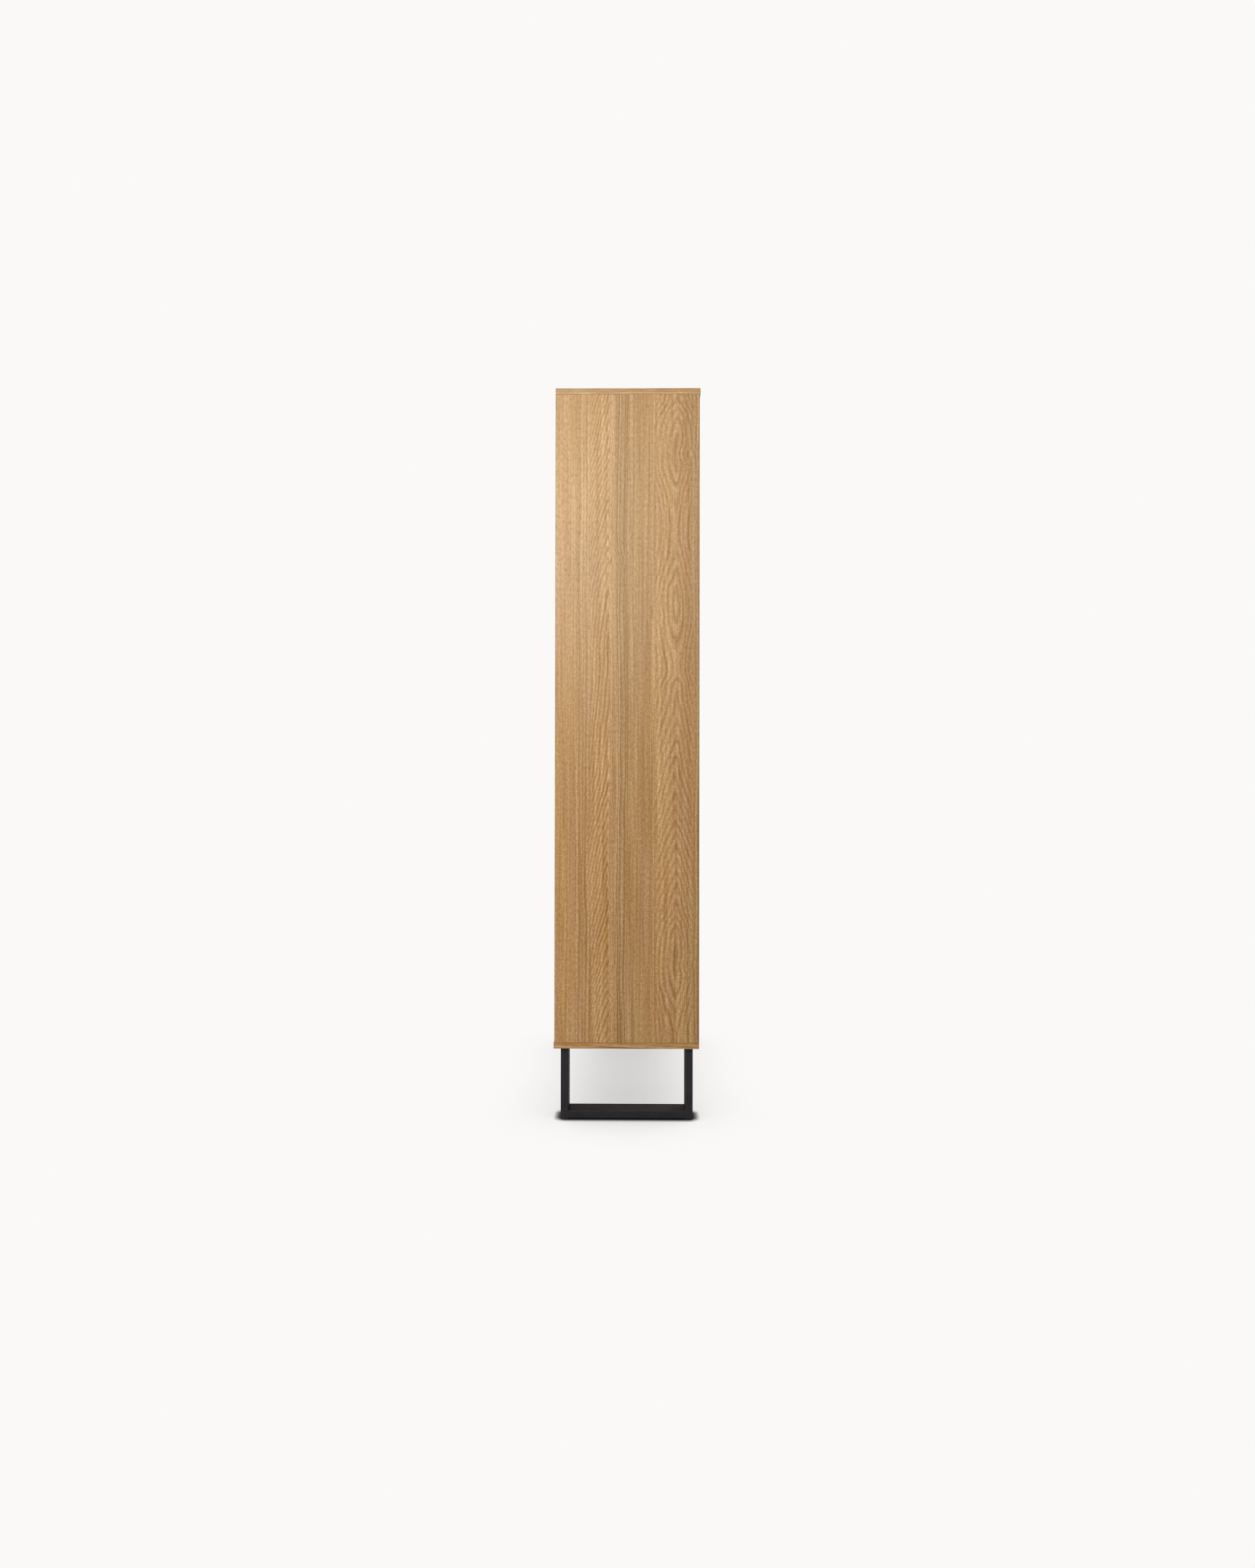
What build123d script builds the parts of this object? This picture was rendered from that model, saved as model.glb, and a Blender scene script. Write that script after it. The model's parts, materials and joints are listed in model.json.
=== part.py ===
from build123d import *
import os

# Tall pantry cabinet on two black sled leg frames, four inset doors on pivot pins.
# +X is the cabinet's right hand side, -Y is its front, +Z is up. Millimetres.
# The origin is on the floor, under the middle of the cabinet.

# ---------------------------------------------------------------- driving dimensions
WIDTH = 900.0               # outside, over the side panels
HEIGHT = 2000.0             # floor to the top of the top board
SIDE_DEPTH = 394.0          # front to back, side panels
OVERHANG = 2.0              # top board stands proud behind, bottom board in front
BOARD = 16.0                # thickness of every board
EDGE = 0.6                  # radius on the edges of the boards
LEG_HEIGHT = 198.0          # floor to the underside of the bottom board
LOWER_OPENING = 702.0       # clear height behind the lower doors
UPPER_SHELVES = 2           # loose shelves behind the upper doors
LOWER_SHELVES = 1           # loose shelves behind the lower doors
DOOR_GAP = 3.0              # gap all round each door
DOOR_EDGE = 0.8             # radius on the edges of the doors

# carcass planes worked out from the driving dimensions
X_OUT = WIDTH / 2
X_IN = X_OUT - BOARD
FRONT = -SIDE_DEPTH / 2
BACK = SIDE_DEPTH / 2
Z_FLOOR_BOARD = LEG_HEIGHT + BOARD      # top of the bottom board
Z_TOP_BOARD = HEIGHT - BOARD            # underside of the top board
Z_MID_LOW = Z_FLOOR_BOARD + LOWER_OPENING
Z_MID_HIGH = Z_MID_LOW + BOARD
Z_MID = (Z_MID_LOW + Z_MID_HIGH) / 2

# back panels in their grooves
BACK_PANEL = 3.0
GROOVE_WIDE = 3.4
GROOVE_DEEP = 5.0
GROOVE_SETBACK = 9.6        # rear edge of the side panel to the groove
PANEL_IN_GROOVE = 4.5
Y_PANEL = BACK - GROOVE_SETBACK - GROOVE_WIDE + (GROOVE_WIDE - BACK_PANEL) / 2

# loose shelves
SHELF_END_GAP = 1.0
SHELF_SETBACK = 37.0        # front of the side panel to the front of the shelf
SHELF_BACK_GAP = 1.2
PIN_ROWS = (-120.0, 140.0)  # Y of the two rows of shelf holes
PIN_PITCH = 32.0
PIN_STEPS = 2               # spare holes above and below each shelf
PIN_DROP = 6.0              # underside of the shelf to the hole
STUD_LONG = 8.5             # shelf support: the stud in the panel
SUPPORT_WIDE = 9.0
SUPPORT_THICK = 1.4
TONGUE_LONG = 11.0
TONGUE_THICK = 2.0

# knock-down fittings: cam lock, cam bolt and wooden dowel
CAM_ROWS = (-150.0, 150.0)
DOWEL_ROWS = (-100.0, 100.0)
CAM_RADIUS = 7.5
CAM_DEEP = 12.5
CAM_SETBACK = 24.0          # board end to the centre of the cam
CAM_CROSS = (9.0, 1.6, 5.0)
CAM_SLOT = 3.6              # half the width of the slot that grips the bolt
CAM_SLOT_DEEP = 4.4
COVER_LIP = 1.5
COVER_THICK = 0.8
BOLT_BORE = 4.0             # radius
BOLT_THREAD = 2.5           # radius
BOLT_THREAD_DEEP = 11.0
COLLAR_RADIUS = 3.4
COLLAR_LONG = 8.0
NECK_RADIUS = 2.0
BOLT_HEAD_RADIUS = 3.2
BOLT_HEAD = (-1.0, 3.0)     # the head's two ends, from the centre of the cam
DOWEL_RADIUS = 4.0
DOWEL_IN_END = 20.0
DOWEL_IN_FACE = 9.5
FIT = 0.1                   # clearance of a fitting in its hole
HOLE_SPARE = 0.5            # how much deeper a blind hole is than what it takes

# screws: radius, length, head radius, head height
PIVOT_SCREW = (1.7, 17.0, 3.3, 1.7)
STRIKE_SCREW = (1.2, 7.0, 2.25, 1.0)
CATCH_SCREW = (1.5, 10.5, 3.0, 1.8)
BRACKET_SCREW = (1.7, 12.0, 3.5, 2.2)
LEG_SCREW = (2.0, 14.0, 4.0, 2.4)

# doors and pivot hinges
DOOR_WIDE = (2 * X_IN - 3 * DOOR_GAP) / 2
DOOR_BACK = FRONT + BOARD
PIVOT_INSET = 14.0          # door edge to the pivot axis
PIVOT_X = X_IN - DOOR_GAP - PIVOT_INSET
PIVOT_Y = FRONT + BOARD / 2
PIN_RADIUS = 2.5
PIN_CLEARANCE = 0.05        # running clearance of the pin in its bush
PIN_IN_BUSH = 5.5
BUSH_RADIUS = 4.5
BUSH_DEEP = 6.5
BUSH_FLANGE_RADIUS = 6.5
BUSH_FLANGE = 1.0
SHOULDER_RADIUS = 4.0
SHOULDER = 1.6
PLATE_LONG = 50.0
PLATE_WIDE = 12.0
PLATE_THICK = 2.0
PLATE_START = 5.0           # door edge to the end of the pivot plate
PLATE_SCREWS = (16.0, 33.0)  # pivot axis to each screw

# flush pulls
PULL_TALL = 124.0
PULL_WIDE = 36.0
PULL_FLANGE = 1.5
PULL_RIM = 4.0              # width of the flange around the cup
PULL_DEEP = 11.0
PULL_WALL = 1.5
PULL_CORNER = 5.0
PULL_FROM_EDGE = 46.0       # meeting edge of the door to the middle of the pull
PULL_FROM_END = 150.0       # end of the door to the middle of the pull

# magnetic catches
CATCH_WIDE = 64.0
CATCH_TALL = 15.0
CATCH_BLOCK = 16.0
CATCH_WING = 30.0
CATCH_PLATE = 2.5
CATCH_GAP = 1.4             # back of the door to the magnets
MAGNET_PROUD = 0.4          # magnets in front of their housing
MAGNET_DROP = 4.0           # underside of the board to the magnets
MAGNET_X = 17.0
MAGNET = (18.0, 9.0, 8.0)
STRIKE = (18.0, 1.0, 10.0)

# sled leg frames of rectangular steel tube
TUBE_WIDE = 60.0            # across the cabinet
TUBE_THIN = 21.0            # seen from the side
TUBE_WALL = 2.0
TUBE_RADIUS = 1.6
FRAME_DEPTH = 362.0         # outside of the front post to outside of the rear post
FRAME_INSET = 20.0          # side panel to the leg frame
GLIDE = 2.0
LEG_PLATE = 3.0
LEG_PLATE_LONG = 110.0
LEG_SCREW_ROWS = (40.0, 94.0)
LEG_SCREW_X = 18.0

# brackets that hold the cabinet to a wall
BRACKET_X = 300.0
BRACKET_LEG = 40.0
BRACKET_WIDE = 20.0
BRACKET_THICK = 2.0
BRACKET_HOLE = 2.75         # radius
BRACKET_DROP = 28.0         # underside of the top board to the wall screw


# ---------------------------------------------------------------- helpers
def block(x0, x1, y0, y1, z0, z1):
    """A box between two corners."""
    centre = Pos((x0 + x1) / 2, (y0 + y1) / 2, (z0 + z1) / 2)
    return centre * Box(abs(x1 - x0), abs(y1 - y0), abs(z1 - z0))


def board(x0, x1, y0, y1, z0, z1, radius=EDGE):
    """A box whose edges are slightly rounded."""
    plain = block(x0, x1, y0, y1, z0, z1)
    return fillet(plain.edges(), radius)


def rod(radius, start, end):
    """A cylinder along local Z from start to end."""
    return Pos(0, 0, (start + end) / 2) * Cylinder(radius, abs(end - start))


def placed(shape, origin, z_dir, x_dir=None):
    """Move a shape from its own frame to a frame given by its origin and directions."""
    plane = Plane(origin=origin, z_dir=z_dir) if x_dir is None else Plane(origin, x_dir, z_dir)
    return plane.location * shape


def save(name, *shapes):
    """Write one named sub-part, which may be a group of separate solids."""
    solids = [solid for shape in shapes for solid in shape.solids()]
    result = solids[0] if len(solids) == 1 else Compound(children=solids)
    export_step(result, f"parts/{name}.step")


def screw(spec, countersunk=True):
    """A cross-head screw along -Z whose head ends at Z = 0, or above it when it isn't sunk."""
    radius, length, head_radius, head = spec
    recess_deep = 0.55 * head
    if countersunk:
        head_solid = Pos(0, 0, -head / 2) * Cone(radius, head_radius, head)
        head_top = 0.0
    else:
        head_solid = fillet(rod(head_radius, 0, head).edges().group_by(Axis.Z)[-1], 0.6 * head)
        head_top = head
    shank = rod(radius, -length + radius, 0)
    tip = Pos(0, 0, -length + radius / 2) * Cone(0.25 * radius, radius, radius)
    slot_long = 1.1 * head_radius
    slot_wide = 0.24 * head_radius
    slot = Box(slot_long, slot_wide, 2 * recess_deep) + Box(slot_wide, slot_long, 2 * recess_deep)
    return head_solid + shank + tip - Pos(0, 0, head_top) * slot


def sunk_hole(spec):
    """The hole through a plate for a countersunk screw, open at Z = 0."""
    radius, length, head_radius, head = spec
    sink = Pos(0, 0, -head / 2) * Cone(radius + FIT, head_radius + FIT, head)
    return rod(radius + FIT, -length, 1) + sink


def clear_hole(spec):
    """The hole through a plate for a pan-head screw."""
    return rod(spec[0] + 1.5 * FIT, -5, 5)


def pilot_hole(spec, plate):
    """The hole along +Z into a board for a screw that goes through a plate first."""
    return rod(spec[0] + FIT, -1, spec[1] - plate + HOLE_SPARE)


# ---------------------------------------------------------------- knock-down fittings
def joint_frames():
    """Every joint between the end of one board and the face of another.

    Each entry has the joint's name, the X and Z of its middle, the direction into the
    face board and the direction in which the cam shows.
    """
    frames = []
    for side in (-1, 1):
        hand = "left" if side < 0 else "right"
        x_mid = side * (X_IN + BOARD / 2)
        inward = (-side, 0, 0)
        frames.append((f"{hand}_top", x_mid, Z_TOP_BOARD, (0, 0, 1), inward))
        frames.append((f"{hand}_bottom", x_mid, Z_FLOOR_BOARD, (0, 0, -1), inward))
        frames.append((f"{hand}_middle", side * X_IN, Z_MID, (side, 0, 0), (0, 0, -1)))
    return frames


def cam_lock():
    """A zinc cam with the slot that grips the bolt's head and a cross for the driver."""
    face = BOARD / 2 - FIT
    disc = rod(CAM_RADIUS - FIT, face - CAM_DEEP, face)
    long, wide, deep = CAM_CROSS
    cross = Box(long, wide, deep) + Box(wide, long, deep)
    disc -= Pos(0, 0, face) * cross
    disc = Plane((0, 0, -CAM_SETBACK), x_dir=(0, 1, 0), z_dir=(1, 0, 0)).location * disc
    low = -CAM_SETBACK - CAM_SLOT_DEEP
    return disc - block(-CAM_SLOT, CAM_SLOT, -CAM_SLOT, CAM_SLOT, low, -CAM_SETBACK + CAM_RADIUS)


def cam_bolt():
    """A steel bolt: thread in the face board, collar, neck, and a head inside the cam."""
    thread = rod(BOLT_THREAD - FIT / 2, 0, BOLT_THREAD_DEEP)
    collar = rod(COLLAR_RADIUS, -COLLAR_LONG, 0)
    head_start, head_end = (end - CAM_SETBACK for end in BOLT_HEAD)
    neck = rod(NECK_RADIUS, head_end, -COLLAR_LONG)
    head = fillet(rod(BOLT_HEAD_RADIUS, head_start, head_end).edges(), 0.8)
    return thread + collar + neck + head


def cam_cover():
    """A thin plastic cover that lies over the cam."""
    face = BOARD / 2
    disc = rod(CAM_RADIUS + COVER_LIP, face, face + COVER_THICK)
    disc = fillet(disc.edges().group_by(Axis.Z)[-1], 0.5)
    return Plane((0, 0, -CAM_SETBACK), x_dir=(0, 1, 0), z_dir=(1, 0, 0)).location * disc


def cam_pocket():
    """What the cam and its bolt need cut out of the end board."""
    pocket = rod(CAM_RADIUS, BOARD / 2 - CAM_DEEP - 2 * FIT, BOARD / 2 + 1)
    pocket = Plane((0, 0, -CAM_SETBACK), x_dir=(0, 1, 0), z_dir=(1, 0, 0)).location * pocket
    return pocket + rod(BOLT_BORE, -CAM_SETBACK, 1)


def bolt_hole():
    return rod(BOLT_THREAD, -1, BOLT_THREAD_DEEP + HOLE_SPARE)


def dowel():
    peg = rod(DOWEL_RADIUS - FIT / 2, -DOWEL_IN_END, DOWEL_IN_FACE)
    return chamfer(peg.edges(), 0.8)


def dowel_hole(depth):
    """A dowel hole: a positive depth goes into the face board, a negative one into the end."""
    return rod(DOWEL_RADIUS, -1 if depth > 0 else 1, depth)


def at_joint(shape, frame, y):
    _, x, z, into_face, cam_side = frame
    return placed(shape, (x, y, z), into_face, cam_side)


def end_cuts(frame):
    """Everything that one joint cuts out of the board whose end meets the other."""
    cuts = [at_joint(cam_pocket(), frame, y) for y in CAM_ROWS]
    return cuts + [at_joint(dowel_hole(-DOWEL_IN_END - HOLE_SPARE), frame, y) for y in DOWEL_ROWS]


def face_cuts(frame):
    """Everything that one joint cuts out of the board whose face takes the bolts."""
    cuts = [at_joint(bolt_hole(), frame, y) for y in CAM_ROWS]
    return cuts + [at_joint(dowel_hole(DOWEL_IN_FACE + HOLE_SPARE), frame, y) for y in DOWEL_ROWS]


# ---------------------------------------------------------------- shelves
def shelf_levels():
    """Undersides of the loose shelves, which share each opening evenly."""
    levels = []
    for floor, ceiling, count in (
        (Z_FLOOR_BOARD, Z_MID_LOW, LOWER_SHELVES),
        (Z_MID_HIGH, Z_TOP_BOARD, UPPER_SHELVES),
    ):
        clear = (ceiling - floor - count * BOARD) / (count + 1)
        levels += [floor + (i + 1) * clear + i * BOARD for i in range(count)]
    return levels


def loose_shelf(level):
    half = X_IN - SHELF_END_GAP
    return board(-half, half, FRONT + SHELF_SETBACK, Y_PANEL - SHELF_BACK_GAP, level, level + BOARD)


def shelf_support():
    """A stud along +X in the side panel, with a plate and a tongue under the shelf."""
    half = SUPPORT_WIDE / 2
    stud = placed(rod(PIN_RADIUS - FIT / 2, 0, STUD_LONG), (0, 0, 0), (1, 0, 0))
    plate = block(-SUPPORT_THICK, 0, -half, half, -PIN_DROP, PIN_DROP)
    tongue = block(-TONGUE_LONG, 0, -half, half, PIN_DROP - TONGUE_THICK, PIN_DROP)
    return stud + plate + fillet(tongue.edges().filter_by(Axis.Z), 1.2)


def support_hole():
    return placed(rod(PIN_RADIUS, -1, STUD_LONG + HOLE_SPARE), (0, 0, 0), (1, 0, 0))


def mirrored(shape, side):
    """A shape drawn for the right hand side, or its mirror image for the left."""
    return shape if side > 0 else mirror(shape, about=Plane.YZ)


# ---------------------------------------------------------------- carcass
def side_panel(side):
    hand = "left" if side < 0 else "right"
    x_near = side * X_IN
    x_far = side * X_OUT
    panel = board(min(x_near, x_far), max(x_near, x_far), FRONT, BACK, Z_FLOOR_BOARD, Z_TOP_BOARD)
    cuts = [back_groove(x_near, x_near + side * GROOVE_DEEP, Z_FLOOR_BOARD - 1, Z_TOP_BOARD + 1)]
    for frame in joint_frames():
        if frame[0] == f"{hand}_middle":
            cuts += face_cuts(frame)
        elif frame[0].startswith(hand):
            cuts += end_cuts(frame)
    for level in shelf_levels():
        for step in range(-PIN_STEPS, PIN_STEPS + 1):
            for y in PIN_ROWS:
                spot = Pos(X_IN, y, level - PIN_DROP + step * PIN_PITCH)
                cuts.append(mirrored(spot * support_hole(), side))
    return panel - cuts


def back_groove(x0, x1, z0, z1):
    y0 = BACK - GROOVE_SETBACK - GROOVE_WIDE
    return block(x0, x1, y0, y0 + GROOVE_WIDE, z0, z1)


def bush_spots():
    """Each pivot bush: its place on a board and the direction into that board."""
    spots = []
    for side in (-1, 1):
        spots.append(((side * PIVOT_X, PIVOT_Y, Z_TOP_BOARD), (0, 0, 1)))
        spots.append(((side * PIVOT_X, PIVOT_Y, Z_MID_HIGH), (0, 0, -1)))
        spots.append(((side * PIVOT_X, PIVOT_Y, Z_MID_LOW), (0, 0, 1)))
        spots.append(((side * PIVOT_X, PIVOT_Y, Z_FLOOR_BOARD), (0, 0, -1)))
    return spots


def bush_holes(z):
    hole = rod(BUSH_RADIUS, -1, BUSH_DEEP)
    return [placed(hole, place, into) for place, into in bush_spots() if place[2] == z]


def pivot_bush():
    sleeve = rod(BUSH_RADIUS - FIT / 2, 0, BUSH_DEEP - FIT)
    flange = rod(BUSH_FLANGE_RADIUS, -BUSH_FLANGE, 0)
    return sleeve + flange - rod(PIN_RADIUS + PIN_CLEARANCE, -BUSH_FLANGE - 1, BUSH_DEEP)


def top_board():
    shape = board(-X_OUT, X_OUT, FRONT, BACK + OVERHANG, Z_TOP_BOARD, HEIGHT)
    half = X_IN + GROOVE_DEEP
    cuts = [back_groove(-half, half, Z_TOP_BOARD - 1, Z_TOP_BOARD + GROOVE_DEEP)]
    for frame in joint_frames():
        if frame[0].endswith("top"):
            cuts += face_cuts(frame)
    cuts += bush_holes(Z_TOP_BOARD)
    catch_hole = pilot_hole(CATCH_SCREW, CATCH_PLATE)
    cuts += [placed(catch_hole, spot, (0, 0, 1)) for spot in catch_screw_spots(Z_TOP_BOARD)]
    bracket_hole = pilot_hole(BRACKET_SCREW, BRACKET_THICK)
    cuts += [placed(bracket_hole, spot, (0, 0, 1)) for spot in bracket_screw_spots()]
    return shape - cuts


def bottom_board():
    shape = board(-X_OUT, X_OUT, FRONT - OVERHANG, BACK, LEG_HEIGHT, Z_FLOOR_BOARD)
    half = X_IN + GROOVE_DEEP
    cuts = [back_groove(-half, half, Z_FLOOR_BOARD - GROOVE_DEEP, Z_FLOOR_BOARD + 1)]
    for frame in joint_frames():
        if frame[0].endswith("bottom"):
            cuts += face_cuts(frame)
    cuts += bush_holes(Z_FLOOR_BOARD)
    leg_hole = pilot_hole(LEG_SCREW, LEG_PLATE)
    cuts += [placed(leg_hole, spot, (0, 0, 1)) for spot in leg_screw_spots()]
    return shape - cuts


def middle_shelf():
    shape = board(-X_IN, X_IN, FRONT, BACK, Z_MID_LOW, Z_MID_HIGH)
    cuts = [back_groove(-X_OUT, X_OUT, Z_MID_HIGH - GROOVE_DEEP, Z_MID_HIGH + 1)]
    cuts.append(back_groove(-X_OUT, X_OUT, Z_MID_LOW - 1, Z_MID_LOW + GROOVE_DEEP))
    for frame in joint_frames():
        if frame[0].endswith("middle"):
            cuts += end_cuts(frame)
    cuts += bush_holes(Z_MID_HIGH) + bush_holes(Z_MID_LOW)
    catch_hole = pilot_hole(CATCH_SCREW, CATCH_PLATE)
    cuts += [placed(catch_hole, spot, (0, 0, 1)) for spot in catch_screw_spots(Z_MID_LOW)]
    return shape - cuts


def back_panel(floor, ceiling):
    half = X_IN + PANEL_IN_GROOVE
    low = floor - PANEL_IN_GROOVE
    high = ceiling + PANEL_IN_GROOVE
    return block(-half, half, Y_PANEL, Y_PANEL + BACK_PANEL, low, high)


# ---------------------------------------------------------------- wall brackets
def bracket_screw_spots():
    y = Y_PANEL - 0.6 * BRACKET_LEG
    return [(side * BRACKET_X, y, Z_TOP_BOARD) for side in (-1, 1)]


def wall_screw_holes():
    spots = [(side * BRACKET_X, Y_PANEL, Z_TOP_BOARD - BRACKET_DROP) for side in (-1, 1)]
    return [placed(rod(BRACKET_HOLE, -10, 10), spot, (0, 1, 0)) for spot in spots]


def wall_bracket(side):
    x0 = side * BRACKET_X - BRACKET_WIDE / 2
    x1 = x0 + BRACKET_WIDE
    up = block(x0, x1, Y_PANEL - BRACKET_THICK, Y_PANEL, Z_TOP_BOARD - BRACKET_LEG, Z_TOP_BOARD)
    flat = block(x0, x1, Y_PANEL - BRACKET_LEG, Y_PANEL, Z_TOP_BOARD - BRACKET_THICK, Z_TOP_BOARD)
    angle = up + flat
    tips = angle.edges().filter_by(Axis.Y).group_by(Axis.Z)[0]
    tips += angle.edges().filter_by(Axis.Z).group_by(Axis.Y)[0]
    angle = fillet(tips, 4)
    spot = bracket_screw_spots()[0 if side < 0 else 1]
    return angle - wall_screw_holes() - placed(clear_hole(BRACKET_SCREW), spot, (0, 0, 1))


# ---------------------------------------------------------------- magnetic catches
def catch_screw_spots(ceiling):
    y = DOOR_BACK + CATCH_GAP + MAGNET_PROUD + (CATCH_BLOCK + CATCH_WING) / 2
    return [(side * MAGNET_X, y, ceiling) for side in (-1, 1)]


def magnet_block(side, ceiling):
    wide, deep, tall = MAGNET
    x = side * MAGNET_X
    y = DOOR_BACK + CATCH_GAP
    z = ceiling - MAGNET_DROP
    return block(x - wide / 2, x + wide / 2, y, y + deep, z - tall, z)


def catch_housing(ceiling):
    """A housing for two magnets, with a wing behind for its two screws."""
    half = CATCH_WIDE / 2
    y = DOOR_BACK + CATCH_GAP + MAGNET_PROUD
    body = board(-half, half, y, y + CATCH_BLOCK, ceiling - CATCH_TALL, ceiling - EDGE, 1.0)
    wing = block(-half + 1, half - 1, y + 1, y + CATCH_WING, ceiling - CATCH_PLATE, ceiling)
    wing = fillet(wing.edges().filter_by(Axis.Z).group_by(Axis.Y)[-1], 5)
    pockets = [magnet_block(side, ceiling) for side in (-1, 1)]
    hole = clear_hole(CATCH_SCREW)
    holes = [placed(hole, spot, (0, 0, 1)) for spot in catch_screw_spots(ceiling)]
    return body + wing - pockets - holes


# ---------------------------------------------------------------- leg frames
def leg_tube(length):
    outside = RectangleRounded(TUBE_WIDE, TUBE_THIN, TUBE_RADIUS)
    inside = Rectangle(TUBE_WIDE - 2 * TUBE_WALL, TUBE_THIN - 2 * TUBE_WALL)
    return extrude(outside - inside, amount=length)


def leg_x(side):
    return side * (X_OUT - FRAME_INSET - TUBE_WIDE / 2)


def mitre(end):
    """The plane of the welded corner, facing the post; end is -1 at the front."""
    return Plane(origin=(0, end * FRAME_DEPTH / 2, GLIDE), z_dir=(0, end, 1))


def leg_post(side, end):
    length = LEG_HEIGHT - LEG_PLATE - GLIDE
    y = end * (FRAME_DEPTH - TUBE_THIN) / 2
    post = Pos(leg_x(side), y, GLIDE) * leg_tube(length)
    return split(post, bisect_by=mitre(end), keep=Keep.TOP)


def leg_floor_bar(side):
    origin = (leg_x(side), -FRAME_DEPTH / 2, GLIDE + TUBE_THIN / 2)
    bar = placed(leg_tube(FRAME_DEPTH), origin, (0, 1, 0), (1, 0, 0))
    for end in (-1, 1):
        bar = split(bar, bisect_by=mitre(end), keep=Keep.BOTTOM)
    return bar


def leg_plate_screw_spots(side, end):
    """Where one mounting plate is screwed to the bottom board."""
    spots = []
    for row in LEG_SCREW_ROWS:
        for x_step in (-LEG_SCREW_X, LEG_SCREW_X):
            spots.append((leg_x(side) + x_step, end * (FRAME_DEPTH / 2 - row), LEG_HEIGHT))
    return spots


def leg_screw_spots():
    return [s for side in (-1, 1) for end in (-1, 1) for s in leg_plate_screw_spots(side, end)]


def leg_plate(side, end):
    x0 = leg_x(side) - TUBE_WIDE / 2
    y0 = end * FRAME_DEPTH / 2
    y1 = end * (FRAME_DEPTH / 2 - LEG_PLATE_LONG)
    plate = block(x0, x0 + TUBE_WIDE, min(y0, y1), max(y0, y1), LEG_HEIGHT - LEG_PLATE, LEG_HEIGHT)
    plate = fillet(plate.edges().filter_by(Axis.Z), TUBE_RADIUS)
    hole = clear_hole(LEG_SCREW)
    holes = [placed(hole, spot, (0, 0, 1)) for spot in leg_plate_screw_spots(side, end)]
    return plate - holes


def floor_glide(side, end):
    x = leg_x(side)
    y = end * (FRAME_DEPTH - TUBE_THIN) / 2
    pad = Pos(x, y, GLIDE / 2) * Box(TUBE_WIDE - 2, TUBE_THIN - 1, GLIDE)
    pad = fillet(pad.edges().filter_by(Axis.Z), 3)
    return chamfer(pad.edges().group_by(Axis.Z)[0], 0.5)


# ---------------------------------------------------------------- doors
def door_span(level):
    """Bottom and top of a door on the upper or the lower level."""
    if level == "upper":
        return Z_MID_HIGH + DOOR_GAP, Z_TOP_BOARD - DOOR_GAP
    return Z_FLOOR_BOARD + DOOR_GAP, Z_MID_LOW - DOOR_GAP


def pivot_plate_ends(level):
    """The door's two pivot ends: height of the door's edge and outward direction."""
    low, high = door_span(level)
    return ((low, -1), (high, 1))


def pivot_plate():
    """A plate let into the door's edge, with a shouldered pin; drawn for the right hand door."""
    inner = PIVOT_INSET - PLATE_START
    plate = block(inner - PLATE_LONG, inner, -PLATE_WIDE / 2, PLATE_WIDE / 2, -PLATE_THICK, 0)
    plate = fillet(plate.edges().filter_by(Axis.Z), 2)
    for run in PLATE_SCREWS:
        plate -= Pos(-run, 0, 0) * sunk_hole(PIVOT_SCREW)
    pin = rod(PIN_RADIUS, 0, DOOR_GAP + PIN_IN_BUSH)
    pin = chamfer(pin.edges().group_by(Axis.Z)[-1], 0.6)
    return plate + pin + rod(SHOULDER_RADIUS, 0, SHOULDER)


def plate_pocket():
    inner = PIVOT_INSET - PLATE_START + FIT
    half = PLATE_WIDE / 2 + FIT
    pocket = block(inner - PLATE_LONG - 2 * FIT, inner, -half, half, -PLATE_THICK, 1)
    for run in PLATE_SCREWS:
        pocket += Pos(-run, 0, 0) * rod(PIVOT_SCREW[0] + FIT, -PIVOT_SCREW[1] - HOLE_SPARE, 0)
    return pocket


def at_pivot(shape, side, z, outward):
    """Put a pivot piece at one end of a door: outward is 1 at its top and -1 at its bottom."""
    if outward < 0:
        shape = mirror(shape, about=Plane.XY)
    return Pos(side * PIVOT_X, PIVOT_Y, z) * mirrored(shape, side)


def pull_spot(side, level):
    low, high = door_span(level)
    z = low + PULL_FROM_END if level == "upper" else high - PULL_FROM_END
    return side * (DOOR_GAP / 2 + PULL_FROM_EDGE), z


def slab(wide, tall, corner, y0, y1):
    """A plate with rounded corners in the XZ plane, from y0 to y1."""
    plate = extrude(RectangleRounded(wide, tall, corner), amount=y1 - y0)
    return placed(plate, (0, y0, 0), (0, 1, 0), (1, 0, 0))


def flush_pull():
    """A pressed metal cup whose flange lies flush with the door's face at Y = 0."""
    wide = PULL_WIDE - 2 * PULL_RIM
    tall = PULL_TALL - 2 * PULL_RIM
    flange = slab(PULL_WIDE, PULL_TALL, PULL_CORNER, 0, PULL_FLANGE)
    cup = slab(wide, tall, PULL_CORNER - 1, 0, PULL_DEEP)
    cup = fillet(cup.edges().group_by(Axis.Y)[-1], 2)
    wide -= 2 * PULL_WALL
    tall -= 2 * PULL_WALL
    hollow = slab(wide, tall, PULL_CORNER - 2, -1, PULL_DEEP - PULL_WALL)
    hollow = fillet(hollow.edges().group_by(Axis.Y)[-1], 1.5)
    pull = flange + cup - hollow
    rim = pull.edges().group_by(Axis.Y)[0]
    return fillet(rim, 0.4)


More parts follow.
